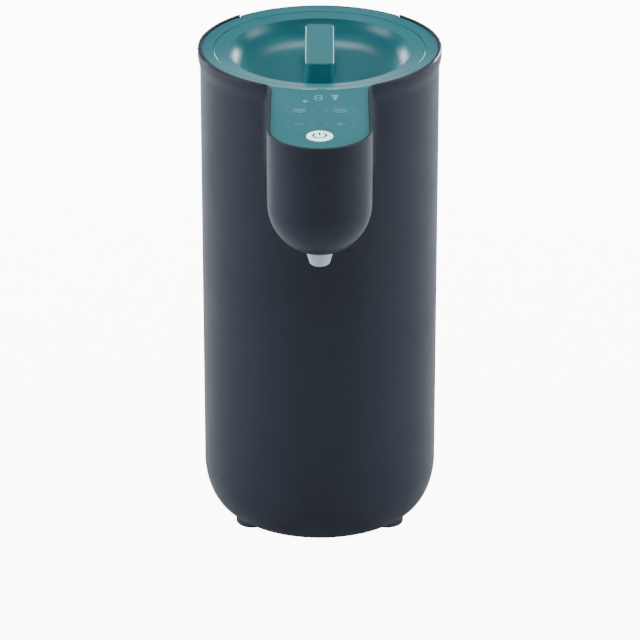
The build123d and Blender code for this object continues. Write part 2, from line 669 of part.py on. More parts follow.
with BuildPart() as gear_plate:
    plate_foot_z = DECK_Z + DECK_T
    with BuildSketch(upright(-PLATE_D)):
        with Locations((0, plate_foot_z)):
            Rectangle(
                GEAR_PLATE_W, GEAR_PLATE_TOP - plate_foot_z, align=(Align.CENTER, Align.MIN)
            )
        with Locations((0, AUGER_Z)):
            Circle(BUSH_R, mode=Mode.SUBTRACT)
        with Locations((0, MOTOR_Z)):
            Circle(MOTOR_NOSE_R, mode=Mode.SUBTRACT)
    extrude(amount=-PLATE_T)
    with BuildSketch(level(plate_foot_z)):
        with Locations((0, PLATE_D)):
            Rectangle(GEAR_PLATE_W, GEAR_PLATE_FOOT, align=(Align.CENTER, Align.MAX))
    extrude(amount=PLATE_T)
gear_plate.part.label = "gear_plate"
export_step(gear_plate.part, "parts/gear_plate.step")

# ---- Mixing funnel, nozzle and its seal ---------------------------------------------------
FUNNEL_R, FUNNEL_Z, FUNNEL_WALL = 20.2, 213.4, 1.4
CONE_R, CONE_Z, CONE_IN_Z = 17.8, 209.0, 210.2  # foot of the funnel's steep rim
THROAT_Z, THROAT_IN_Z, SPIGOT_Z, SPIGOT_R = 205.2, 206.2, 198.0, 4.6
NOZZLE_TOP_Z, NOZZLE_R, NOZZLE_BORE_R = 204.4, 7.1, 3.0
NOZZLE_TIP_R, NOZZLE_TAPER_Z = 5.0, 197.6
TIP_CHAMFER, SPIGOT_GAP = 0.6, 0.6  # at the tip's outer edge, and under the funnel's spigot
SEAL_Z, SEAL_T, SEAL_R = 200.9, 1.6, 5.7
SEAL_ROOM, SEAL_FIT = 0.1, 0.03  # above and below the seal in its groove, and round the spigot
NOZZLE_AXIS = Axis(spot(0, ARM_D, 0), (0, 0, 1))

with BuildPart() as mixing_funnel:
    with BuildSketch(upright(ARM_D)):
        with BuildLine():
            Polyline(
                (FUNNEL_R, FUNNEL_Z), (CONE_R, CONE_Z), (SPIGOT_R, THROAT_Z),
                (SPIGOT_R, SPIGOT_Z), (NOZZLE_BORE_R, SPIGOT_Z), (NOZZLE_BORE_R, THROAT_IN_Z),
                (CONE_R - FUNNEL_WALL, CONE_IN_Z), (FUNNEL_R - FUNNEL_WALL, FUNNEL_Z),
                (FUNNEL_R, FUNNEL_Z),
            )
        make_face()
    revolve(axis=NOZZLE_AXIS)
mixing_funnel.part.label = "mixing_funnel"
export_step(mixing_funnel.part, "parts/mixing_funnel.step")

with BuildPart() as nozzle:
    with BuildSketch(upright(ARM_D)):
        with BuildLine():
            socket_r = SPIGOT_R + RUNNING_GAP
            groove_top, groove_low = SEAL_Z + SEAL_T + SEAL_ROOM, SEAL_Z - SEAL_ROOM
            Polyline(
                (NOZZLE_BORE_R, NOZZLE_TIP_Z), (NOZZLE_TIP_R - TIP_CHAMFER, NOZZLE_TIP_Z),
                (NOZZLE_TIP_R, NOZZLE_TIP_Z + TIP_CHAMFER), (NOZZLE_R, NOZZLE_TAPER_Z),
                (NOZZLE_R, NOZZLE_TOP_Z), (socket_r, NOZZLE_TOP_Z), (socket_r, groove_top),
                (SEAL_R, groove_top), (SEAL_R, groove_low), (socket_r, groove_low),
                (socket_r, SPIGOT_Z - SPIGOT_GAP), (NOZZLE_BORE_R, SPIGOT_Z - SPIGOT_GAP),
                (NOZZLE_BORE_R, NOZZLE_TIP_Z),
            )
        make_face()
    revolve(axis=NOZZLE_AXIS)
nozzle.part.label = "nozzle"
export_step(nozzle.part, "parts/nozzle.step")

with BuildPart() as nozzle_seal:
    with BuildSketch(level(SEAL_Z)):
        with Locations((0, -ARM_D)):
            Circle(SEAL_R)
            Circle(SPIGOT_R + SEAL_FIT, mode=Mode.SUBTRACT)
    extrude(amount=SEAL_T)
nozzle_seal.part.label = "nozzle_seal"
export_step(nozzle_seal.part, "parts/nozzle_seal.step")

# ---- Water tank, its valve and seal -------------------------------------------------------
TANK_BOTTOM, TANK_TOP = 42.9, 179.4
TANK_FRONT, TANK_X, TANK_WALL = 14.6, 41.2, 2.2
TANK_CORNER, TANK_CORNER_IN = 2.5, 1.5
GRIP_X, GRIP_LOW, GRIP_HIGH, GRIP_IN, GRIP_CORNER = 22.0, 148.0, 166.0, 12.0, 5.0
VALVE_R, VALVE_FLANGE_R, VALVE_FLANGE_T, VALVE_BORE_R = 4.0, 6.0, 2.0, 2.5
VALVE_L = 12.0  # length of the valve's stem
VALVE_SEAL_R, VALVE_SEAL_T, VALVE_SEAL_OUT = 5.6, 1.8, 5.4


def tank_block(inset, bottom, corner):
    """Flat-fronted block that follows the body's round back, inset all round."""
    with BuildPart() as block:
        with BuildSketch(level(bottom)):
            Circle(SIDE_R - inset)
        extrude(amount=TANK_TOP - bottom)
        with BuildSketch(level(bottom)):
            with Locations((0, TANK_FRONT + inset)):
                Rectangle(2 * (TANK_X - inset), SIDE_R, align=(Align.CENTER, Align.MIN))
        extrude(amount=TANK_TOP - bottom, mode=Mode.INTERSECT)
        fillet(block.edges().filter_by(Axis.Z), corner)
    return block.part


def grip_block(grow, y_min):
    """Finger pocket in the back of the tank, grown by the wall for its housing."""
    with BuildPart() as grip:
        with BuildSketch(upright(-y_min)):
            with Locations((0, (GRIP_LOW + GRIP_HIGH) / 2)):
                RectangleRounded(2 * (GRIP_X + grow), GRIP_HIGH - GRIP_LOW + 2 * grow, GRIP_CORNER)
        extrude(amount=-SIDE_R / 2)
    return grip.part


tank_outside = tank_block(0, TANK_BOTTOM, TANK_CORNER)
tank_hollow = tank_block(TANK_WALL, TANK_BOTTOM + TANK_WALL, TANK_CORNER_IN)
grip_housing = grip_block(TANK_WALL, SIDE_R - GRIP_IN - TANK_WALL)
grip_pocket = grip_block(0, SIDE_R - GRIP_IN)

with BuildPart() as water_tank:
    add(tank_outside)
    add(tank_hollow - grip_housing, mode=Mode.SUBTRACT)
    add(grip_pocket, mode=Mode.SUBTRACT)
    # hole for the valve
    with BuildSketch(upright(-TANK_FRONT)):
        with Locations((0, VALVE_Z)):
            Circle(VALVE_R)
    extrude(amount=-TANK_WALL, mode=Mode.SUBTRACT)
water_tank.part.label = "water_tank"
export_step(water_tank.part, "parts/water_tank.step")

with BuildPart() as tank_valve:
    valve_back = -TANK_FRONT - TANK_WALL
    with BuildSketch(upright(valve_back - VALVE_FLANGE_T)):
        with Locations((0, VALVE_Z)):
            Circle(VALVE_FLANGE_R)
    extrude(amount=VALVE_FLANGE_T)
    with BuildSketch(upright(valve_back)):
        with Locations((0, VALVE_Z)):
            Circle(VALVE_R)
    extrude(amount=VALVE_L)
    with BuildSketch(upright(valve_back - VALVE_FLANGE_T)):
        with Locations((0, VALVE_Z)):
            Circle(VALVE_BORE_R)
    extrude(amount=VALVE_FLANGE_T + VALVE_L, mode=Mode.SUBTRACT)
tank_valve.part.label = "tank_valve"
export_step(tank_valve.part, "parts/tank_valve.step")

with BuildPart() as valve_seal:
    with BuildSketch(upright(-TANK_FRONT + VALVE_SEAL_OUT)):
        with Locations((0, VALVE_Z)):
            Circle(VALVE_SEAL_R)
            Circle(VALVE_R, mode=Mode.SUBTRACT)
    extrude(amount=VALVE_SEAL_T)
valve_seal.part.label = "valve_seal"
export_step(valve_seal.part, "parts/valve_seal.step")

# ---- Tank socket, pump, heater and hoses --------------------------------------------------
SOCKET_BACK, SOCKET_FRONT = BAY_D + FRAME_T, 2.0
SOCKET_FLANGE_R, SOCKET_FLANGE_T, SOCKET_END_T = 9.0, 2.0, 1.5
NIPPLE_L, NIPPLE_BORE_R = 8.0, 1.4
PORT_L = 5.0
PUMP_H, PUMP_CORNER, PUMP_CHAMFER = 36.0, 3.0, 1.0
PUMP_IN_Z, PUMP_OUT_Z = VALVE_Z, 70.0
PUMP_FACE_X = PUMP_X + PUMP_W / 2
PUMP_MOTOR_R, PUMP_MOTOR_H, PUMP_CAP_R, PUMP_CAP_H = 12.0, 34.0, 4.0, 2.0
HEATER_FOOT_Z, HEATER_TOP_Z, HEATER_ROUND = 56.0, 150.0, 2.0
HEATER_FACE_X = HEATER_X - HEATER_R
CLIP_ZS, CLIP_H, CLIP_T, CLIP_ARM_W = (86.0, 132.0), 8.0, 1.6, 8.0
SENSOR_Z, SENSOR_W, SENSOR_H, SENSOR_T = 110.0, 6.0, 12.0, 3.0

with BuildPart() as tank_socket:
    with BuildSketch(upright(-SOCKET_BACK)):
        with Locations((0, VALVE_Z)):
            Circle(SOCKET_R)
    extrude(amount=SOCKET_BACK - SOCKET_FRONT)
    with BuildSketch(upright(-BAY_D)):
        with Locations((0, VALVE_Z)):
            Circle(SOCKET_FLANGE_R)
    extrude(amount=SOCKET_FLANGE_T)
    with BuildSketch(upright(-SOCKET_FRONT)):
        with Locations((0, VALVE_Z)):
            Circle(HOSE_BORE)
    extrude(amount=NIPPLE_L)
    with BuildSketch(upright(-SOCKET_BACK)):
        with Locations((0, VALVE_Z)):
            Circle(VALVE_SEAL_R + RUNNING_GAP)
    extrude(amount=SOCKET_BACK - SOCKET_FRONT - SOCKET_END_T, mode=Mode.SUBTRACT)
    with BuildSketch(upright(-SOCKET_BACK)):
        with Locations((0, VALVE_Z)):
            Circle(NIPPLE_BORE_R)
    extrude(amount=SOCKET_BACK + NIPPLE_L, mode=Mode.SUBTRACT)
tank_socket.part.label = "tank_socket"
export_step(tank_socket.part, "parts/tank_socket.step")

with BuildPart() as water_pump:
    with BuildSketch(level(FLOOR_Z)):
        with Locations((PUMP_X, -PUMP_D)):
            RectangleRounded(PUMP_W, PUMP_W, PUMP_CORNER)
    extrude(amount=PUMP_H)
    chamfer(water_pump.edges().group_by(Axis.Z)[-1], PUMP_CHAMFER)
    with BuildSketch(Plane(spot(PUMP_FACE_X, PUMP_D, 0), x_dir=(0, 1, 0), z_dir=(1, 0, 0))):
        with Locations((0, PUMP_IN_Z), (0, PUMP_OUT_Z)):
            Circle(HOSE_BORE)
    extrude(amount=PORT_L)
water_pump.part.label = "water_pump"
export_step(water_pump.part, "parts/water_pump.step")

with BuildPart() as pump_motor:
    with BuildSketch(level(FLOOR_Z + PUMP_H)):
        with Locations((PUMP_X, -PUMP_D)):
            Circle(PUMP_MOTOR_R)
    extrude(amount=PUMP_MOTOR_H)
    chamfer(pump_motor.edges().group_by(Axis.Z)[-1], PUMP_CHAMFER)
    with BuildSketch(level(FLOOR_Z + PUMP_H + PUMP_MOTOR_H)):
        with Locations((PUMP_X, -PUMP_D)):
            Circle(PUMP_CAP_R)
    extrude(amount=PUMP_CAP_H)
pump_motor.part.label = "pump_motor"
export_step(pump_motor.part, "parts/pump_motor.step")

with BuildPart() as heater:
    with BuildSketch(level(HEATER_FOOT_Z)):
        with Locations((HEATER_X, -PUMP_D)):
            Circle(HEATER_R)
    extrude(amount=HEATER_TOP_Z - HEATER_FOOT_Z)
    fillet(heater.edges(), HEATER_ROUND)
    with BuildSketch(level(HEATER_TOP_Z)):
        with Locations((HEATER_X, -PUMP_D)):
            Circle(HOSE_BORE)
    extrude(amount=PORT_L)
    with BuildSketch(Plane(spot(HEATER_X, PUMP_D, 0), x_dir=(0, -1, 0), z_dir=(-1, 0, 0))):
        with Locations((0, PUMP_OUT_Z)):
            Circle(HOSE_BORE)
    extrude(amount=HEATER_R + PORT_L)
heater.part.label = "heater"
export_step(heater.part, "parts/heater.step")

with BuildPart() as heater_clips:
    for clip_z in CLIP_ZS:
        with BuildSketch(level(clip_z)):
            with Locations((HEATER_X, -PUMP_D)):
                Circle(HEATER_R + CLIP_T)
            with Locations((HEATER_X, (BAY_D - PUMP_D) / 2)):
                Rectangle(CLIP_ARM_W, PUMP_D + BAY_D)
            with Locations((HEATER_X, -PUMP_D)):
                Circle(HEATER_R, mode=Mode.SUBTRACT)
        extrude(amount=CLIP_H)
heater_clips.part.label = "heater_clips"
export_step(heater_clips.part, "parts/heater_clips.step")

with BuildPart() as heat_sensor:
    with BuildSketch(upright(PUMP_D + HEATER_R)):
        with Locations((HEATER_X, SENSOR_Z)):
            Rectangle(SENSOR_W, SENSOR_H)
    extrude(amount=SENSOR_T)
heat_sensor.part.label = "heat_sensor"
export_step(heat_sensor.part, "parts/heat_sensor.step")

TANK_BEND = 11.0
ELBOW_X, ELBOW_D, ELBOW_Z = 12.5, 94.0, 216.5
ELBOW_DROP_D, ELBOW_END_Z, ELBOW_BEND = 106.0, 212.0, 4.0
ELBOW_IN, ELBOW_COLLAR, ELBOW_BORE_R = 8.0, 1.5, 1.3
HOT_RUN_Z = 215.0
HOT_VIA = [spot(16, 62, HOT_RUN_Z), spot(ELBOW_X, 80, ELBOW_Z)]  # under the hopper to the arm
HOT_BENDS = (13, 24, 20)


def hose(path):
    """Round hose along a path, with an open bore that fits its nipples."""
    with BuildPart() as tube:
        with BuildSketch(Plane(path @ 0, z_dir=path % 0)):
            Circle(HOSE_R)
            Circle(HOSE_BORE, mode=Mode.SUBTRACT)
        sweep(path=path)
    return tube.part


with BuildLine() as tank_route:
    FilletPolyline(
        spot(0, -SOCKET_FRONT, VALVE_Z), spot(0, PUMP_D, VALVE_Z),
        spot(PUMP_FACE_X, PUMP_D, PUMP_IN_Z), radius=TANK_BEND,
    )
with BuildLine() as pump_route:
    Line(spot(PUMP_FACE_X, PUMP_D, PUMP_OUT_Z), spot(HEATER_FACE_X, PUMP_D, PUMP_OUT_Z))
with BuildLine() as hot_route:
    FilletPolyline(
        spot(HEATER_X, PUMP_D, HEATER_TOP_Z), spot(HEATER_X, PUMP_D, HOT_RUN_Z),
        *HOT_VIA, spot(ELBOW_X, ELBOW_D, ELBOW_Z), radius=HOT_BENDS,
    )
for hose_name, route in (("tank_hose", tank_route), ("pump_hose", pump_route), ("hot_hose", hot_route)):
    hose_part = hose(route.line)
    hose_part.label = hose_name
    export_step(hose_part, f"parts/{hose_name}.step")

with BuildLine() as elbow_route:
    FilletPolyline(
        spot(ELBOW_X, ELBOW_D - ELBOW_IN, ELBOW_Z), spot(ELBOW_X, ELBOW_DROP_D, ELBOW_Z),
        spot(ELBOW_X, ELBOW_DROP_D, ELBOW_END_Z), radius=ELBOW_BEND,
    )
with BuildPart() as water_elbow:
    with BuildSketch(Plane(elbow_route.line @ 0, z_dir=elbow_route.line % 0)):
        Circle(HOSE_BORE)
        Circle(ELBOW_BORE_R, mode=Mode.SUBTRACT)
    sweep(path=elbow_route.line)
    with BuildSketch(upright(ELBOW_D)):
        with Locations((ELBOW_X, ELBOW_Z)):
            Circle(HOSE_R)
            Circle(HOSE_BORE, mode=Mode.SUBTRACT)
    extrude(amount=ELBOW_COLLAR)
water_elbow.part.label = "water_elbow"
export_step(water_elbow.part, "parts/water_elbow.step")

# ---- Power button and the switch under it -------------------------------------------------
PRESS = 0.8  # travel of the button
BUTTON_TOP = COVER_Z + 0.4
BUTTON_LIP, BUTTON_LIP_T = 1.0, 1.2  # lip that holds the button under the cover
LIP_GAP = 0.3  # between the lip and the cover's underside
BUTTON_ROUND, STEM_R = 0.5, 2.0
SWITCH_Z = BOARD_Z + BOARD_T
SWITCH_W, SWITCH_H, SWITCH_FLOOR = 6.0, 2.9, 1.0
PLUNGER_R, PLUNGER_GAP, PLUNGER_ROOM = 1.6, 0.1, 0.4  # round the plunger, and left under it when pressed
PLUNGER_Z = SWITCH_Z + SWITCH_FLOOR + PRESS + PLUNGER_ROOM
STEM_Z = 251.6  # where the button's stem sits on the plunger
LIP_LOW_Z = PLATE_Z - LIP_GAP - BUTTON_LIP_T

with BuildPart() as power_button:
    with BuildSketch(level(LIP_LOW_Z)):
        with Locations((0, -BUTTON_D)):
            Circle(BUTTON_R + BUTTON_LIP)
    extrude(amount=BUTTON_LIP_T)
    with BuildSketch(level(PLATE_Z - LIP_GAP)):
        with Locations((0, -BUTTON_D)):
            Circle(BUTTON_R)
    extrude(amount=BUTTON_TOP - PLATE_Z + LIP_GAP)
    fillet(power_button.edges().group_by(Axis.Z)[-1], BUTTON_ROUND)
    with BuildSketch(level(STEM_Z)):
        with Locations((0, -BUTTON_D)):
            Circle(STEM_R)
    extrude(amount=LIP_LOW_Z - STEM_Z)
power_button.part.label = "power_button"
export_step(power_button.part, "parts/power_button.step")

with BuildPart() as switch_plunger:
    with BuildSketch(level(PLUNGER_Z)):
        with Locations((0, -BUTTON_D)):
            Circle(PLUNGER_R)
    extrude(amount=STEM_Z - PLUNGER_Z)
switch_plunger.part.label = "switch_plunger"
export_step(switch_plunger.part, "parts/switch_plunger.step")

with BuildPart() as power_switch:
    with BuildSketch(level(SWITCH_Z)):
        with Locations((0, -BUTTON_D)):
            Rectangle(SWITCH_W, SWITCH_W)
    extrude(amount=SWITCH_H)
    with BuildSketch(level(SWITCH_Z + SWITCH_FLOOR)):
        with Locations((0, -BUTTON_D)):
            Circle(PLUNGER_R + PLUNGER_GAP)
    extrude(amount=SWITCH_H - SWITCH_FLOOR, mode=Mode.SUBTRACT)
power_switch.part.label = "power_switch"
export_step(power_switch.part, "parts/power_switch.step")

# ---- Control board with its touch springs and display -------------------------------------
TOUCH_X, TOUCH_ROWS = 10.0, (87.4, 104.9)
TOUCH_SPOTS = [(x, -d) for d in TOUCH_ROWS for x in (-TOUCH_X, TOUCH_X)]
SPRING_OUT_R, SPRING_IN_R = 5.5, 4.5
CONTROL_W, CONTROL_L, CONTROL_MID_D, CONTROL_CORNER = 37.0, 64.0, 93.0, 9.0
CONTROL_TAB_L = 10.0  # square end towards the body
BOARD_HOLE_R, BOARD_HEAD_R, BOARD_HEAD_T = 1.1, 2.0, 1.2
DISPLAY_D, DISPLAY_W, DISPLAY_L = 73.0, 24.0, 10.0

with BuildPart() as control_board:
    with BuildSketch(level(BOARD_Z)):
        with Locations((0, -CONTROL_MID_D)):
            RectangleRounded(CONTROL_W, CONTROL_L, CONTROL_CORNER)
        with Locations(((BOARD_POSTS[0][0] + BOARD_POSTS[1][0]) / 2, BOARD_POSTS[0][1])):
            Rectangle(CONTROL_W, CONTROL_TAB_L)
        with Locations(BOARD_POSTS):
            Circle(BOARD_HOLE_R, mode=Mode.SUBTRACT)
    extrude(amount=BOARD_T)
control_board.part.label = "control_board"
export_step(control_board.part, "parts/control_board.step")

with BuildPart() as board_screws:
    with BuildSketch(level(BOARD_Z - BOARD_HEAD_T)):
        with Locations(BOARD_POSTS):
            Circle(BOARD_HEAD_R)
    extrude(amount=BOARD_HEAD_T)
    with BuildSketch(level(BOARD_Z)):
        with Locations(BOARD_POSTS):
            Circle(BOARD_SCREW_R)
    extrude(amount=BOARD_SCREW_L)
board_screws.part.label = "board_screws"
export_step(board_screws.part, "parts/board_screws.step")

with BuildPart() as touch_springs:
    with BuildSketch(level(SWITCH_Z)):
        with Locations(TOUCH_SPOTS):
            Circle(SPRING_OUT_R)
            Circle(SPRING_IN_R, mode=Mode.SUBTRACT)
    extrude(amount=PLATE_Z - SWITCH_Z)
touch_springs.part.label = "touch_springs"
export_step(touch_springs.part, "parts/touch_springs.step")

with BuildPart() as display_module:
    with BuildSketch(level(SWITCH_Z)):
        with Locations((0, -DISPLAY_D)):
            Rectangle(DISPLAY_W, DISPLAY_L)
    extrude(amount=PLATE_Z - SWITCH_Z)
display_module.part.label = "display_module"
export_step(display_module.part, "parts/display_module.step")

# ---- Power board, its parts and the power inlet -------------------------------------------
POWER_Z = 15.0
POWER_W, POWER_L, POWER_CORNER = 58.0, 30.0, 2.0
POWER_SCREWS = (48, 22)  # spacing of the power board's screws
STANDOFF_R, POWER_SCREW_R, POWER_HOLE_R = 2.6, 1.2, 1.3
POWER_HEAD_R, POWER_HEAD_T = 2.4, 1.5
POWER_SCREW_DEPTH = 5.0
CAPACITOR_SPOTS, CAPACITOR_R, CAPACITOR_H = [(-14, -4), (-3, -4)], 4.8, 14.0
CHIP_SPOT, CHIP_W, CHIP_T = (12, 3), 12.0, 1.6
INLET_R, INLET_BORE_R, INLET_PIN_R = 5.4, 3.2, 1.0
INLET_BACK, INLET_BODY_BACK, INLET_FRONT = 60.2, 54.5, 47.0  # behind the axis
INLET_BODY_W, INLET_BODY_H = 16.0, 12.0
INLET_DEPTH, INLET_PIN_BACK = 9.2, 59.4
BOARD_TOP = POWER_Z + BOARD_T

with BuildPart() as power_board:
    with BuildSketch(level(POWER_Z)):
        RectangleRounded(POWER_W, POWER_L, POWER_CORNER)
        with GridLocations(*POWER_SCREWS, 2, 2):
            Circle(POWER_HOLE_R, mode=Mode.SUBTRACT)
    extrude(amount=BOARD_T)
power_board.part.label = "power_board"
export_step(power_board.part, "parts/power_board.step")

with BuildPart() as board_standoffs:
    with BuildSketch(level(INSIDE_Z)):
        with GridLocations(*POWER_SCREWS, 2, 2):
            Circle(STANDOFF_R)
            Circle(POWER_SCREW_R, mode=Mode.SUBTRACT)
    extrude(amount=POWER_Z - INSIDE_Z)
board_standoffs.part.label = "board_standoffs"
export_step(board_standoffs.part, "parts/board_standoffs.step")

with BuildPart() as power_board_screws:
    with BuildSketch(level(BOARD_TOP)):
        with GridLocations(*POWER_SCREWS, 2, 2):
            Circle(POWER_HEAD_R)
    extrude(amount=POWER_HEAD_T)
    with BuildSketch(level(POWER_Z - POWER_SCREW_DEPTH)):
        with GridLocations(*POWER_SCREWS, 2, 2):
            Circle(POWER_SCREW_R)
    extrude(amount=POWER_SCREW_DEPTH + BOARD_T)
power_board_screws.part.label = "power_board_screws"
export_step(power_board_screws.part, "parts/power_board_screws.step")

with BuildPart() as board_capacitors:
    with BuildSketch(level(BOARD_TOP)):
        with Locations(CAPACITOR_SPOTS):
            Circle(CAPACITOR_R)
    extrude(amount=CAPACITOR_H)
board_capacitors.part.label = "board_capacitors"
export_step(board_capacitors.part, "parts/board_capacitors.step")

with BuildPart() as control_chip:
    with BuildSketch(level(BOARD_TOP)):
        with Locations(CHIP_SPOT):
            Rectangle(CHIP_W, CHIP_W)
    extrude(amount=CHIP_T)
control_chip.part.label = "control_chip"
export_step(control_chip.part, "parts/control_chip.step")

with BuildPart() as power_inlet:
    with BuildSketch(upright(-INLET_BACK)):
        with Locations((0, INLET_Z)):
            Circle(INLET_R)
    extrude(amount=INLET_BACK - INLET_FRONT)
    with BuildSketch(upright(-INLET_BODY_BACK)):
        with Locations((0, INLET_Z)):
            Rectangle(INLET_BODY_W, INLET_BODY_H)
    extrude(amount=INLET_BODY_BACK - INLET_FRONT)
    with BuildSketch(upright(-INLET_BACK)):
        with Locations((0, INLET_Z)):
            Circle(INLET_BORE_R)
    extrude(amount=INLET_DEPTH, mode=Mode.SUBTRACT)
    with BuildSketch(upright(-INLET_PIN_BACK)):
        with Locations((0, INLET_Z)):
            Circle(INLET_PIN_R)
    extrude(amount=INLET_DEPTH)
power_inlet.part.label = "power_inlet"
export_step(power_inlet.part, "parts/power_inlet.step")

# ---- Wiring inside ------------------------------------------------------------------------
CABLE_R = 1.8
CABLE_Z = BOARD_TOP + CABLE_R
HARNESS_X, HARNESS_BACK_D = 4.0, 8.0
RISER_D = CABLE_SLOT_D  # the riser goes up through the slots in the shelf and the deck
ARM_CABLE_X = -17.0  # along the arm, beside the auger's tube
HARNESS_VIA = [  # from the riser round the hopper's front to the control board
    spot(HARNESS_X, RISER_D, 198), spot(ARM_CABLE_X, 72, 216), spot(ARM_CABLE_X, 78, 230),
    spot(ARM_CABLE_X, 78, BOARD_Z),
]
HARNESS_BENDS = (10, 12, 8, 10)
INLET_VIA = [spot(0, -34, INLET_Z), spot(0, -26, CABLE_Z), spot(0, -8, CABLE_Z)]
INLET_BEND = 6.0


def cable(path):
    """Round bundle of wires along a path."""
    with BuildPart() as bundle:
        with BuildSketch(Plane(path @ 0, z_dir=path % 0)):
            Circle(CABLE_R)
        sweep(path=path)
    return bundle.part


with BuildLine() as harness_route:
    FilletPolyline(
        spot(HARNESS_X, HARNESS_BACK_D, CABLE_Z), spot(HARNESS_X, RISER_D, CABLE_Z),
        *HARNESS_VIA, radius=HARNESS_BENDS,
    )
with BuildLine() as inlet_route:
    FilletPolyline(spot(0, -INLET_FRONT, INLET_Z), *INLET_VIA, radius=INLET_BEND)
for cable_name, route in (("wire_harness", harness_route), ("inlet_cable", inlet_route)):
    cable_part = cable(route.line)
    cable_part.label = cable_name
    export_step(cable_part, f"parts/{cable_name}.step")
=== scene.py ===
import json
import math

import bmesh
import bpy
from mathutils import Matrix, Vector


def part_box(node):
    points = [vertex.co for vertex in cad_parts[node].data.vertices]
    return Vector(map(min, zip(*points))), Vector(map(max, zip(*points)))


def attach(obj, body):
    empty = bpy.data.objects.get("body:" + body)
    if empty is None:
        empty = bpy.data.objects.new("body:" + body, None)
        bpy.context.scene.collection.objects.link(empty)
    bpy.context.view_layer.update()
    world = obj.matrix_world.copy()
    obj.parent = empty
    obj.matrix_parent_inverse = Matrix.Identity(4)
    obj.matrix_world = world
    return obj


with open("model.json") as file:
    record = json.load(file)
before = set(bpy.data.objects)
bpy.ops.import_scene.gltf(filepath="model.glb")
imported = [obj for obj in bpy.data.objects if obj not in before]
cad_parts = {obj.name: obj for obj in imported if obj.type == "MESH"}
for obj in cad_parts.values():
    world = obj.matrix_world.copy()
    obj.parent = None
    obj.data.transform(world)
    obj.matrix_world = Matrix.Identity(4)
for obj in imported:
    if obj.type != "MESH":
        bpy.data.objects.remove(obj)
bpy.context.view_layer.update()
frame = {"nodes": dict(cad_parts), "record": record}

MM = 0.001
MICRON = 0.001 * MM
NODES = frame["nodes"]

# ---- Places and sizes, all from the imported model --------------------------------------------
LID_LOW, LID_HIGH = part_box("lid")
SPLIT_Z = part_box("body_shell")[1].z  # where the shell's two mouldings meet
RIM_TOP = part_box("head_shell")[1].z
COVER_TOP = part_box("top_cover")[1].z
BUTTON_LOW, BUTTON_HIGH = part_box("power_button")

AXIS_Y = (LID_LOW.y + LID_HIGH.y) / 2  # the round body's axis
BUTTON_TOP = BUTTON_HIGH.z
BUTTON_Y = (BUTTON_LOW.y + BUTTON_HIGH.y) / 2
TANK_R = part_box("water_tank")[1].y - AXIS_Y  # the tank's round back

# ---- Camera ---------------------------------------------------------------------------------
CAMERA_BACK = 1.8991  # horizontal distance from the body's axis
CAMERA_RISE = 0.7192  # height above the rim
CAMERA_SIDE = 0.00014
CAMERA_PITCH = 24.67  # degrees below the horizon
CAMERA_LENS, SENSOR = 225.0, 36.0  # millimetres
CAMERA_NEAR, CAMERA_FAR = 0.05, 80.0


def make_camera():
    data = bpy.data.cameras.new("camera")
    data.lens, data.sensor_width = CAMERA_LENS, SENSOR
    data.clip_start, data.clip_end = CAMERA_NEAR, CAMERA_FAR
    camera = bpy.data.objects.new("camera", data)
    camera.location = (CAMERA_SIDE, AXIS_Y - CAMERA_BACK, RIM_TOP + CAMERA_RISE)
    camera.rotation_euler = (math.radians(90 - CAMERA_PITCH), 0, 0)
    bpy.context.scene.collection.objects.link(camera)
    bpy.context.scene.camera = camera


make_camera()

# ---- Studio: softboxes, sky and floor -------------------------------------------------------
DAYLIGHT = (0.88, 0.95, 1.0)  # slightly cool
ROOM_LIGHT = 0.12  # strength of the room as the object sees it
PAPER_GLOW = 10.0  # how far the floor is overexposed, for the camera only
PAPER_LIT = 1.0  # about what the lights add to that, so the background gets it too
PAPER_SHOWN = 0.9  # the paper's brightness for the camera, without the glow
PAPER_FRONT, PAPER_BACK = 0.88, 0.80  # and for all other rays, before and behind the object
FADE_FROM, FADE_TO = -0.1, 0.6  # where on Y the one fades into the other
FLOOR_HALF = 30

LIGHT_AIM = (0, AXIS_Y, 0.18)
SOFTBOXES = (  # name, place, width and height, watts
    ("right_box", (1.2, AXIS_Y, 0.6), (0.6, 0.6), 7),
    ("left_box", (-1.2, AXIS_Y - 0.1, 0.6), (0.6, 0.6), 8),
    ("front_box", (0, -1.6, 1.9), (1.2, 0.7), 7),
    ("back_right", (0.80, 1.38, 0.38), (0.35, 0.6), 20),
    ("back_left", (-0.80, 1.38, 0.38), (0.35, 0.6), 21),
    ("back_top", (0, 1.1, 1.9), (1.2, 0.6), 16),
    ("backdrop", (0, 2.0, 0.34), (2.8, 0.4), 10),
)


def softbox(name, place, size, power):
    """Rectangular area light that no camera sees, turned towards the object."""
    data = bpy.data.lights.new(name, "AREA")
    data.shape = "RECTANGLE"
    data.size, data.size_y = size
    data.energy, data.color = power, DAYLIGHT
    light = bpy.data.objects.new(name, data)
    light.location = place
    light.rotation_mode = "QUATERNION"
    light.rotation_quaternion = (Vector(LIGHT_AIM) - Vector(place)).to_track_quat("-Z", "Y")
    light.visible_camera = False
    bpy.context.scene.collection.objects.link(light)


def make_world():
    """Overexposed for the camera, and a dim, slightly cool room for the object."""
    world = bpy.data.worlds.new("studio")
    world.use_nodes = True
    nodes, links = world.node_tree.nodes, world.node_tree.links
    room = nodes["Background"]
    room.inputs["Color"].default_value = (*DAYLIGHT, 1)
    room.inputs["Strength"].default_value = ROOM_LIGHT
    paper = nodes.new("ShaderNodeBackground")
    paper.inputs["Strength"].default_value = PAPER_GLOW + PAPER_LIT
    rays, mix = nodes.new("ShaderNodeLightPath"), nodes.new("ShaderNodeMixShader")
    links.new(rays.outputs["Is Camera Ray"], mix.inputs["Fac"])
    links.new(room.outputs["Background"], mix.inputs[1])
    links.new(paper.outputs["Background"], mix.inputs[2])
    links.new(mix.outputs["Shader"], nodes["World Output"].inputs["Surface"])
    bpy.context.scene.world = world


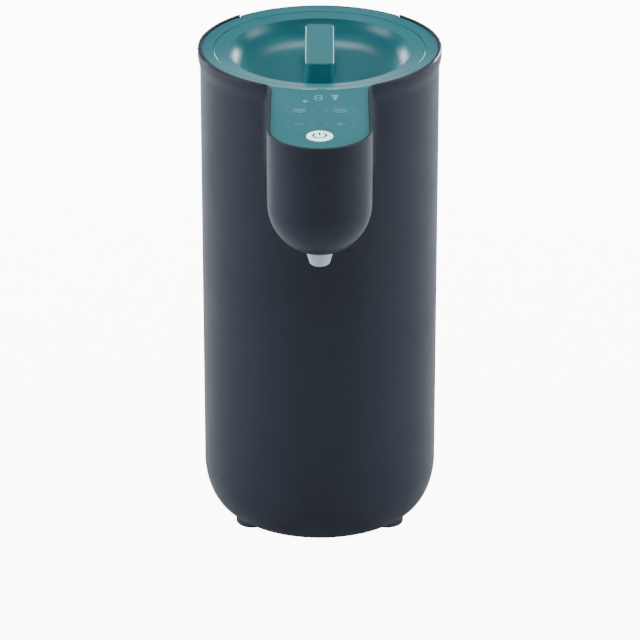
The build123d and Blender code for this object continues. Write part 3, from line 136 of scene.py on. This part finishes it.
def make_floor():
    """Wide sheet of pale paper: overexposed for the camera, plain and diffuse for all other rays."""
    mesh = bpy.data.meshes.new("floor")
    edit = bmesh.new()
    bmesh.ops.create_grid(edit, x_segments=1, y_segments=1, size=FLOOR_HALF)
    edit.to_mesh(mesh)
    edit.free()
    floor = bpy.data.objects.new("floor", mesh)
    bpy.context.scene.collection.objects.link(floor)
    material = bpy.data.materials.new("floor_paper")
    material.use_nodes = True
    nodes, links = material.node_tree.nodes, material.node_tree.links
    nodes.remove(nodes["Principled BSDF"])
    shown, lit = nodes.new("ShaderNodeBsdfDiffuse"), nodes.new("ShaderNodeBsdfDiffuse")
    shown.inputs["Color"].default_value = (PAPER_SHOWN, PAPER_SHOWN, PAPER_SHOWN, 1)
    glow, both = nodes.new("ShaderNodeEmission"), nodes.new("ShaderNodeAddShader")
    glow.inputs["Strength"].default_value = PAPER_GLOW
    links.new(shown.outputs[0], both.inputs[0])
    links.new(glow.outputs[0], both.inputs[1])
    place, split = nodes.new("ShaderNodeTexCoord"), nodes.new("ShaderNodeSeparateXYZ")
    shade = nodes.new("ShaderNodeMapRange")
    shade.inputs["From Min"].default_value = FADE_FROM
    shade.inputs["From Max"].default_value = FADE_TO
    shade.inputs["To Min"].default_value = PAPER_FRONT
    shade.inputs["To Max"].default_value = PAPER_BACK
    links.new(place.outputs["Object"], split.inputs[0])
    links.new(split.outputs["Y"], shade.inputs["Value"])
    links.new(shade.outputs["Result"], lit.inputs["Color"])
    rays, mix = nodes.new("ShaderNodeLightPath"), nodes.new("ShaderNodeMixShader")
    links.new(rays.outputs["Is Camera Ray"], mix.inputs["Fac"])
    links.new(lit.outputs[0], mix.inputs[1])
    links.new(both.outputs[0], mix.inputs[2])
    links.new(mix.outputs[0], nodes["Material Output"].inputs["Surface"])
    mesh.materials.append(material)


make_world()
for box_name, box_place, box_size, box_power in SOFTBOXES:
    softbox(box_name, box_place, box_size, box_power)
make_floor()


# ---- Finishes -------------------------------------------------------------------------------
NOISE_LOW, NOISE_HIGH = 0.3, 0.7  # most of a noise texture's values lie between these
MIX_FACTOR, MIX_FIRST, MIX_SECOND, MIX_RESULT = 0, 6, 7, 2  # sockets of a Mix node for colours
SPECK_SOLID = 0.6  # share of a fleck's radius that has its full colour
BEND_FULL, BEND_NONE = 0.80, 0.985  # bevelled against true normal, at full wear and at none
PATCHES, PATCH_PALE = 160, 0.25  # worn edges are broken by this noise, down to this share
PATCH_LOW, PATCH_HIGH = 0.35, 0.65
UNWORN, WORN = 3 * MM, 6 * MM  # distance from clear_of where wear starts and is complete


class Finish:
    """A procedural material: colour drift, roughness patches, surface grain and worn edges."""

    def __init__(self, name, colour, rough, metal=0.0, specular=0.5):
        self.material = bpy.data.materials.new(name)
        self.material.use_nodes = True
        self.nodes = self.material.node_tree.nodes
        self.links = self.material.node_tree.links
        self.shader = self.nodes["Principled BSDF"]
        self.place = self.nodes.new("ShaderNodeTexCoord").outputs["Object"]
        self.colour = self.rgb(colour)
        self.rough = rough
        self.shader.inputs["Metallic"].default_value = metal
        self.shader.inputs["Specular IOR Level"].default_value = specular
        self.height = None

    def rgb(self, colour):
        node = self.nodes.new("ShaderNodeRGB")
        node.outputs[0].default_value = (*colour, 1)
        return node.outputs[0]

    def stretched(self, stretch):
        """Object coordinates, squeezed along chosen axes for grain that runs one way."""
        if stretch is None:
            return self.place
        node = self.nodes.new("ShaderNodeMapping")
        node.inputs["Scale"].default_value = stretch
        self.links.new(self.place, node.inputs["Vector"])
        return node.outputs["Vector"]

    def noise(self, scale, detail=2.0, stretch=None):
        node = self.nodes.new("ShaderNodeTexNoise")
        node.inputs["Scale"].default_value = scale
        node.inputs["Detail"].default_value = detail
        self.links.new(self.stretched(stretch), node.inputs["Vector"])
        return node.outputs["Fac"]

    def ramp(self, value, low, high, start=NOISE_LOW, end=NOISE_HIGH):
        """value's range from start to end, mapped to low to high."""
        node = self.nodes.new("ShaderNodeMapRange")
        limits = {"From Min": start, "From Max": end, "To Min": low, "To Max": high}
        for key, number in limits.items():
            node.inputs[key].default_value = number
        self.links.new(value, node.inputs["Value"])
        return node.outputs["Result"]

    def maths(self, operation, first, second):
        node = self.nodes.new("ShaderNodeMath")
        node.operation = operation
        for socket, value in zip(node.inputs, (first, second)):
            if isinstance(value, (int, float)):
                socket.default_value = value
            else:
                self.links.new(value, socket)
        return node.outputs[0]

    def mixed(self, factor, first, second):
        node = self.nodes.new("ShaderNodeMix")
        node.data_type = "RGBA"
        self.links.new(factor, node.inputs[MIX_FACTOR])
        self.links.new(first, node.inputs[MIX_FIRST])
        self.links.new(second, node.inputs[MIX_SECOND])
        return node.outputs[MIX_RESULT]

    def drift(self, amount, scale=14.0):
        """The colour wanders a little darker and lighter over the surface."""
        node = self.nodes.new("ShaderNodeHueSaturation")
        self.links.new(self.colour, node.inputs["Color"])
        cloud = self.noise(scale, detail=4)
        self.links.new(self.ramp(cloud, 1 - amount, 1 + amount), node.inputs["Value"])
        self.colour = node.outputs["Color"]
        return self

    def smudge(self, amount, scale=35.0, stretch=None):
        """Roughness patches, as from handling and wiping."""
        cloud = self.noise(scale, detail=5, stretch=stretch)
        self.rough = self.ramp(cloud, self.rough - amount, self.rough + amount)
        return self

    def speck(self, colour, share, scale):
        """Fine flecks of another colour."""
        node = self.nodes.new("ShaderNodeTexVoronoi")
        node.inputs["Scale"].default_value = scale
        self.links.new(self.place, node.inputs["Vector"])
        mask = self.ramp(node.outputs["Distance"], 1, 0, share * SPECK_SOLID, share)
        self.colour = self.mixed(mask, self.colour, self.rgb(colour))
        return self

    def grain(self, scale, depth, detail=2.0, stretch=None):
        """Moulded or brushed grain, depth in metres."""
        layer = self.maths("MULTIPLY", self.noise(scale, detail, stretch), depth)
        self.height = layer if self.height is None else self.maths("ADD", self.height, layer)
        return self

    def wear(self, colour, radius=0.6 * MM, amount=0.5, clear_of=None):
        """Lighter, polished edges. None near the height clear_of, so a seam there doesn't show."""
        soft = self.nodes.new("ShaderNodeBevel")
        soft.inputs["Radius"].default_value = radius
        true = self.nodes.new("ShaderNodeNewGeometry")
        turn = self.nodes.new("ShaderNodeVectorMath")
        turn.operation = "DOT_PRODUCT"
        self.links.new(soft.outputs["Normal"], turn.inputs[0])
        self.links.new(true.outputs["Normal"], turn.inputs[1])
        edge = self.ramp(turn.outputs["Value"], amount, 0, BEND_FULL, BEND_NONE)
        patches = self.ramp(self.noise(PATCHES, detail=4), PATCH_PALE, 1, PATCH_LOW, PATCH_HIGH)
        edge = self.maths("MULTIPLY", edge, patches)
        if clear_of is not None:
            split = self.nodes.new("ShaderNodeSeparateXYZ")
            self.links.new(self.place, split.inputs[0])
            away = self.maths("ABSOLUTE", self.maths("SUBTRACT", split.outputs["Z"], clear_of), 0)
            edge = self.maths("MULTIPLY", edge, self.ramp(away, 0, 1, UNWORN, WORN))
        self.colour = self.mixed(edge, self.colour, self.rgb(colour))
        return self

    def glow(self, colour, strength):
        self.shader.inputs["Emission Color"].default_value = (*colour, 1)
        self.shader.inputs["Emission Strength"].default_value = strength
        return self

    def clear(self, weight, ior=1.46):
        self.shader.inputs["Transmission Weight"].default_value = weight
        self.shader.inputs["IOR"].default_value = ior
        return self

    def done(self):
        """Joins the layers to the shader and gives the material."""
        self.links.new(self.colour, self.shader.inputs["Base Color"])
        if isinstance(self.rough, (int, float)):
            self.shader.inputs["Roughness"].default_value = self.rough
        else:
            self.links.new(self.rough, self.shader.inputs["Roughness"])
        if self.height is not None:
            bump = self.nodes.new("ShaderNodeBump")
            bump.inputs["Distance"].default_value = 1.0
            self.links.new(self.height, bump.inputs["Height"])
            self.links.new(bump.outputs["Normal"], self.shader.inputs["Normal"])
        return self.material


COARSE_DEPTH = 1.5  # moulded plastic's coarse grain is this much deeper than its fine one
WORN_METAL = (0.85, 0.85, 0.84)
DUST_GAIN, DUST_LIFT = 1.5, 0.02  # how much paler than its rubber the dust is
SOLDER_MASK, TRACK, PAD = (0.012, 0.09, 0.045), (0.03, 0.16, 0.07), (0.62, 0.6, 0.52)
TRACKS = {"Scale": 180.0, "Mortar Size": 0.06, "Brick Width": 1.4, "Row Height": 0.35}


def moulded(name, colour, rough, worn, depth=12 * MICRON):
    """Moulded plastic: fine spark-eroded grain, handling marks and slightly polished edges."""
    finish = Finish(name, colour, rough).drift(0.05).smudge(0.05)
    return finish.grain(2600, depth).grain(420, depth * COARSE_DEPTH).wear(worn).done()


def metal(name, colour, rough, stretch):
    """Bare metal with a brushed or turned grain that runs one way."""
    finish = Finish(name, colour, rough, metal=1.0).drift(0.08, scale=60)
    finish.smudge(0.08, scale=120, stretch=stretch).grain(900, 4 * MICRON, detail=3, stretch=stretch)
    return finish.wear(WORN_METAL, radius=0.4 * MM, amount=0.6).done()


def rubber(name, colour, rough=0.75, depth=30 * MICRON):
    """Soft matt rubber with a dusty bloom."""
    dust = tuple(min(1.0, part * DUST_GAIN + DUST_LIFT) for part in colour)
    finish = Finish(name, colour, rough, specular=0.3).drift(0.12, scale=40)
    return finish.speck(dust, share=0.16, scale=700).smudge(0.08).grain(1500, depth).done()


def board(name):
    """Circuit board: green solder mask over copper tracks, on glass cloth."""
    finish = Finish(name, SOLDER_MASK, 0.35)
    tracks = finish.nodes.new("ShaderNodeTexBrick")
    for key, number in TRACKS.items():
        tracks.inputs[key].default_value = number
    finish.links.new(finish.place, tracks.inputs["Vector"])
    finish.colour = finish.mixed(tracks.outputs["Fac"], finish.colour, finish.rgb(TRACK))
    finish.speck(PAD, share=0.12, scale=420)
    return finish.smudge(0.06, scale=200).grain(3000, 6 * MICRON).done()


def printed(name, colour, rough, drift, smudge, depth):
    """Screen-printed ink."""
    finish = Finish(name, colour, rough).drift(drift, scale=300).smudge(smudge, scale=400)
    return finish.grain(1800, depth)


# The teal showed jagged dark lines where its roughness ran through about 0.274. So each
# roughness, smudges included, stays at 0.285 or more, or wholly below that as the tank's does.
SHELL = (
    Finish("body_plastic", (0.029, 0.034, 0.054), 0.38, specular=0.33)
    .drift(0.05, scale=9).smudge(0.045, scale=22)
    .grain(2400, 10 * MICRON).grain(300, 12 * MICRON)
    .wear((0.10, 0.11, 0.14), radius=0.7 * MM, clear_of=SPLIT_Z).done()
)
TEAL = (
    Finish("cover_plastic", (0.034, 0.272, 0.308), 0.33, specular=0.45)
    .drift(0.04, scale=18).smudge(0.045, scale=30)
    .grain(260, 14 * MICRON).grain(2200, 5 * MICRON)
    .wear((0.10, 0.33, 0.37), radius=0.5 * MM, amount=0.6).done()
)
KEY_WHITE = (
    Finish("key_plastic", (0.74, 0.92, 0.96), 0.36)
    .drift(0.02, scale=60).smudge(0.06, scale=120).grain(900, 6 * MICRON)
    .glow((0.62, 0.96, 1.0), strength=2.0).done()
)
WHITE = moulded("white_plastic", (0.80, 0.87, 0.95), 0.34, (0.95, 0.95, 0.95))
FRAME = moulded("frame_plastic", (0.13, 0.14, 0.15), 0.55, (0.24, 0.25, 0.26), 20 * MICRON)
HOPPER = moulded("hopper_plastic", (0.60, 0.62, 0.63), 0.42, (0.74, 0.75, 0.76), 10 * MICRON)
GEAR = moulded("gear_plastic", (0.78, 0.74, 0.63), 0.38, (0.88, 0.86, 0.78), 6 * MICRON)
COMPONENT = moulded("component", (0.022, 0.022, 0.025), 0.45, (0.10, 0.10, 0.10))
TANK = (
    Finish("tank_plastic", (0.30, 0.38, 0.42), 0.12)
    .drift(0.06, scale=20).smudge(0.05, scale=45).grain(180, 20 * MICRON)
    .wear((0.75, 0.85, 0.9), radius=0.8 * MM).clear(0.82).done()
)
SILICONE = rubber("silicone", (0.62, 0.66, 0.68), 0.6, 10 * MICRON)
FOOT = rubber("foot_rubber", (0.092, 0.106, 0.114))
HOSE = rubber("hose_rubber", (0.58, 0.62, 0.64), 0.45, 10 * MICRON)
CABLE = rubber("cable", (0.03, 0.03, 0.033), 0.55, 20 * MICRON)
STEEL = metal("steel", (0.62, 0.62, 0.62), 0.37, (1, 1, 12))
MOTOR = metal("motor_steel", (0.42, 0.43, 0.44), 0.38, (1, 10, 1))
HEATER = metal("heater_metal", (0.70, 0.70, 0.71), 0.38, (1, 1, 14))
BRASS = metal("brass", (0.66, 0.47, 0.20), 0.37, (1, 16, 1))
BOARD = board("board")
# The pale and the lit print are ink for the touch rings, icons and display marks. They also paint a
# highlight along the crease where the ring meets the tongue, with two faintly glowing glints.
PALE_PRINT_AND_HIGHLIGHT = printed("pale_print_and_highlight", (0.12, 0.40, 0.44), 0.45, 0.06, 0.06, 4 * MICRON).done()
LIT_PRINT_AND_GLINT = (
    printed("lit_print_and_glint", (0.28, 0.60, 0.64), 0.40, 0.08, 0.05, 3 * MICRON)
    .glow((0.35, 0.9, 0.95), strength=0.10).done()
)
PRINT_DARK = printed("print_dark", (0.03, 0.05, 0.055), 0.40, 0.10, 0.05, 3 * MICRON).done()

LOOKS = {
    "body_plastic": SHELL, "cover_plastic": TEAL, "white_plastic": WHITE, "frame_plastic": FRAME,
    "hopper_plastic": HOPPER, "gear_plastic": GEAR, "tank_plastic": TANK, "silicone": SILICONE,
    "foot_rubber": FOOT, "hose_rubber": HOSE, "steel": STEEL, "motor_steel": MOTOR,
    "heater_metal": HEATER, "brass": BRASS, "board": BOARD, "component": COMPONENT, "cable": CABLE,
}
for part in frame["record"]["subparts"]:
    skin = NODES[part["node"]].data.materials
    skin.clear()
    skin.append(LOOKS[part["material_slot"]])
NODES["power_button"].data.materials[0] = KEY_WHITE


# ---- Printed marks and a painted highlight on the crease ------------------------------------
PRINT_SINK, PRINT_RISE = 0.02 * MM, 0.05 * MM  # below and above the face that is printed on
PRINT_LOW, PRINT_HIGH = COVER_TOP - PRINT_SINK, COVER_TOP + PRINT_RISE

# Millimetres from here on. A mark's place is given across and in front of the body's axis.
TOUCH_X, TOUCH_ROWS, TOUCH_R = 10.0, (87.4, 104.9), 6.55
RING_W, ICON_W = 0.34, 0.5
RING_POINTS, DOT_POINTS, POWER_STEPS = 72, 36, 60
WAVE_STEPS, WAVE_HALVES, WAVE_LONG, WAVE_HIGH = 24, 3, 6.4, 0.55
WAVE_ROWS = (-1.9, 0.0, 1.9)
POWDER_BARS = ((-2.0, 5.0), (0.0, 7.6), (2.0, 6.0))  # row and length
MINUS_LONG, PLUS_LONG = 4.4, 3.8
# Painted highlight along the crease where the sloped ring meets the tongue: a pale line with two
# brighter glowing glints on it.
LINE_X, LINE_D, LINE_LONG, LINE_W = -0.4, 59.0, 21.8, 1.0
GLINT_SPANS, GLINT_W, GLINT_RISE = ((-5.2, 7.4), (6.4, 5.6)), 1.1, 0.02  # middle and length of each
DOT_X, DOT_D, DOT_R, DOT_STRETCH = -7.2, 75.2, 1.15, 1.3
FIGURE_X, FIGURE_D, FIGURE_HALF_W, FIGURE_HALF_H = -0.6, 70.4, 1.55, 3.3
SEGMENT_W, SEGMENT_TRIM, SEGMENT_GAP = 0.75, 0.4, 0.5
FUNNEL_X = 7.5
FUNNEL = ((-2.0, 66.6), (-0.75, 70.4), (-0.75, 73.6), (0.75, 73.6), (0.75, 70.4), (2.0, 66.6))
POWER_R, POWER_W, POWER_RISE = 3.2, 0.95, 0.04
POWER_FROM, POWER_TO = 125, 415  # degrees: the ring is open at the back
STEM_FROM, STEM_TO = 0.4, 3.7


def top_spot(x, d):
    """A point on the cover, x millimetres across and d in front of the body's axis."""
    return Vector((x * MM, AXIS_Y - d * MM))


def arc(centre, radius, start, end, steps, stretch=1.0):
    """Points from start to end degrees, counted from the right towards the back."""
    angles = [math.radians(start + (end - start) * i / steps) for i in range(steps + 1)]
    return [centre + Vector((radius * math.cos(a), radius * stretch * math.sin(a))) for a in angles]


def circle(centre, radius, count, stretch=1.0):
    """Points all the way round, the first not repeated."""
    return arc(centre, radius, 0, 360 - 360 / count, count - 1, stretch)


def prism(edit, outline, low, high):
    """Flat solid with the given outline between two heights."""
    floor = [edit.verts.new((p.x, p.y, low)) for p in outline]
    roof = [edit.verts.new((p.x, p.y, high)) for p in outline]
    edit.faces.new(roof)
    edit.faces.new(reversed(floor))
    for i in range(len(outline)):
        j = (i + 1) % len(outline)
        edit.faces.new((floor[i], floor[j], roof[j], roof[i]))


def ribbon(edit, path, width, low, high, closed=False):
    """Flat stroke of constant width along a path."""
    count = len(path)
    sides = []
    for i, point in enumerate(path):
        before = path[(i - 1) % count] if closed or i else point
        after = path[(i + 1) % count] if closed or i < count - 1 else point
        along = (after - before).normalized()
        across = Vector((-along.y, along.x)) * width / 2
        sides.append([
            edit.verts.new((*(point + across), low)), edit.verts.new((*(point - across), low)),
            edit.verts.new((*(point - across), high)), edit.verts.new((*(point + across), high)),
        ])
    for i in range(count if closed else count - 1):
        here, there = sides[i], sides[(i + 1) % count]
        for a, b in ((0, 1), (1, 2), (2, 3), (3, 0)):
            edit.faces.new((here[a], there[a], there[b], here[b]))
    if not closed:
        edit.faces.new(reversed(sides[0]))
        edit.faces.new(sides[-1])


def piece_from(edit, name, body, material):
    """Finishes a bmesh as a piece that rides on a body."""
    bmesh.ops.recalc_face_normals(edit, faces=edit.faces)
    mesh = bpy.data.meshes.new(name)
    edit.to_mesh(mesh)
    edit.free()
    mesh.materials.append(material)
    piece = bpy.data.objects.new(name, mesh)
    bpy.context.scene.collection.objects.link(piece)
    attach(piece, body)


def draw(strokes, name, material, width):
    """One piece from a list of (path, closed) strokes on the cover."""
    edit = bmesh.new()
    for path, closed in strokes:
        ribbon(edit, path, width * MM, PRINT_LOW, PRINT_HIGH, closed)
    piece_from(edit, name, "housing", material)


def touch_rings():
    """A thin ring round each touch key."""
    spots = [top_spot(x, d) for d in TOUCH_ROWS for x in (-TOUCH_X, TOUCH_X)]
    rings = [(circle(spot, TOUCH_R * MM, RING_POINTS), True) for spot in spots]
    draw(rings, "touch_rings", PALE_PRINT_AND_HIGHLIGHT, RING_W)


def wave(x, d):
    """One gentle wave, as drawn for water."""
    points = []
    for i in range(WAVE_STEPS + 1):
        t = i / WAVE_STEPS
        swing = WAVE_HIGH * math.sin(t * WAVE_HALVES * math.pi)
        points.append(top_spot(x + (t - 0.5) * WAVE_LONG, d - swing))
    return points


def bar(x, d, length):
    """Straight stroke from left to right about its middle."""
    return [top_spot(x - length / 2, d), top_spot(x + length / 2, d)]


def touch_icons():
    """Water, powder, less and more."""
    back, front = TOUCH_ROWS
    paths = [wave(-TOUCH_X, back + row) for row in WAVE_ROWS]
    paths += [bar(TOUCH_X, back + row, length) for row, length in POWDER_BARS]
    paths += [bar(-TOUCH_X, front, MINUS_LONG), bar(TOUCH_X, front, PLUS_LONG)]
    half = PLUS_LONG / 2
    paths.append([top_spot(TOUCH_X, front - half), top_spot(TOUCH_X, front + half)])
    draw([(path, False) for path in paths], "touch_icons", LIT_PRINT_AND_GLINT, ICON_W)


def crease_highlight():
    """Painted highlight along the crease where the ring meets the tongue: a long thin pale line with
    two brighter, glowing stretches.
    """
    draw([(bar(LINE_X, LINE_D, LINE_LONG), False)], "painted_crease_highlight", PALE_PRINT_AND_HIGHLIGHT, LINE_W)
    edit = bmesh.new()
    for x, length in GLINT_SPANS:
        ribbon(edit, bar(x, LINE_D, length), GLINT_W * MM, COVER_TOP, PRINT_HIGH + GLINT_RISE * MM)
    piece_from(edit, "painted_crease_glints", "housing", LIT_PRINT_AND_GLINT)


def figure():
    """The seven strokes of a seven-segment figure."""
    across = 2 * FIGURE_HALF_W - SEGMENT_TRIM
    rows = (-FIGURE_HALF_H, 0, FIGURE_HALF_H)
    paths = [bar(FIGURE_X, FIGURE_D + row, across) for row in rows]
    near, far = SEGMENT_GAP, FIGURE_HALF_H - SEGMENT_GAP
    for x in (FIGURE_X - FIGURE_HALF_W, FIGURE_X + FIGURE_HALF_W):
        for start, end in ((-far, -near), (near, far)):
            paths.append([top_spot(x, FIGURE_D + start), top_spot(x, FIGURE_D + end)])
    return paths


def display_marks():
    """A dot, a seven-segment figure and a funnel."""
    edit = bmesh.new()
    dot = circle(top_spot(DOT_X, DOT_D), DOT_R * MM, DOT_POINTS, DOT_STRETCH)
    prism(edit, dot, PRINT_LOW, PRINT_HIGH)
    for path in figure():
        ribbon(edit, path, SEGMENT_W * MM, PRINT_LOW, PRINT_HIGH)
    funnel = [top_spot(FUNNEL_X + across, along) for across, along in FUNNEL]
    prism(edit, funnel, PRINT_LOW, PRINT_HIGH)
    piece_from(edit, "display_marks", "housing", LIT_PRINT_AND_GLINT)


def power_mark():
    """Broken ring and bar on the button."""
    centre = Vector((0, BUTTON_Y))
    low, high = BUTTON_TOP - PRINT_SINK, BUTTON_TOP + POWER_RISE * MM
    ring = arc(centre, POWER_R * MM, POWER_FROM, POWER_TO, POWER_STEPS)
    stem = [centre + Vector((0, y * MM)) for y in (STEM_FROM, STEM_TO)]
    edit = bmesh.new()
    for path in (ring, stem):
        ribbon(edit, path, POWER_W * MM, low, high)
    piece_from(edit, "power_mark", "button", PRINT_DARK)


touch_rings()
touch_icons()
crease_highlight()
display_marks()
power_mark()

# ---- Level marks on the back of the tank ----------------------------------------------------
TICK_FIRST, TICK_LAST, TICK_STEP = 56, 136, 8
TICK_LONG, TICK_SHORT, LONG_EVERY = 9.0, 5.0, 5
TICK_FROM_X = 24.0
TICK_SLICES = 8
TICK_SECTION = ((-0.02, -0.35), (0.12, -0.25), (0.12, 0.25), (-0.02, 0.35))  # out from the tank, up


def level_marks():
    """Raised level ticks that follow the tank's round back."""
    edit = bmesh.new()
    for count, z in enumerate(range(TICK_FIRST, TICK_LAST + 1, TICK_STEP)):
        length = TICK_SHORT if count % LONG_EVERY else TICK_LONG
        first = math.asin(TICK_FROM_X * MM / TANK_R)
        last = math.asin((TICK_FROM_X + length) * MM / TANK_R)
        loops = []
        for i in range(TICK_SLICES + 1):
            a = first + (last - first) * i / TICK_SLICES
            loop = []
            for out, up in TICK_SECTION:
                r = TANK_R + out * MM
                place = (r * math.sin(a), AXIS_Y + r * math.cos(a), (z + up) * MM)
                loop.append(edit.verts.new(place))
            loops.append(loop)
        for here, there in zip(loops, loops[1:]):
            for a, b in ((0, 1), (1, 2), (2, 3), (3, 0)):
                edit.faces.new((here[a], there[a], there[b], here[b]))
        edit.faces.new(reversed(loops[0]))
        edit.faces.new(loops[-1])
    piece_from(edit, "level_marks", "tank", WHITE)


level_marks()
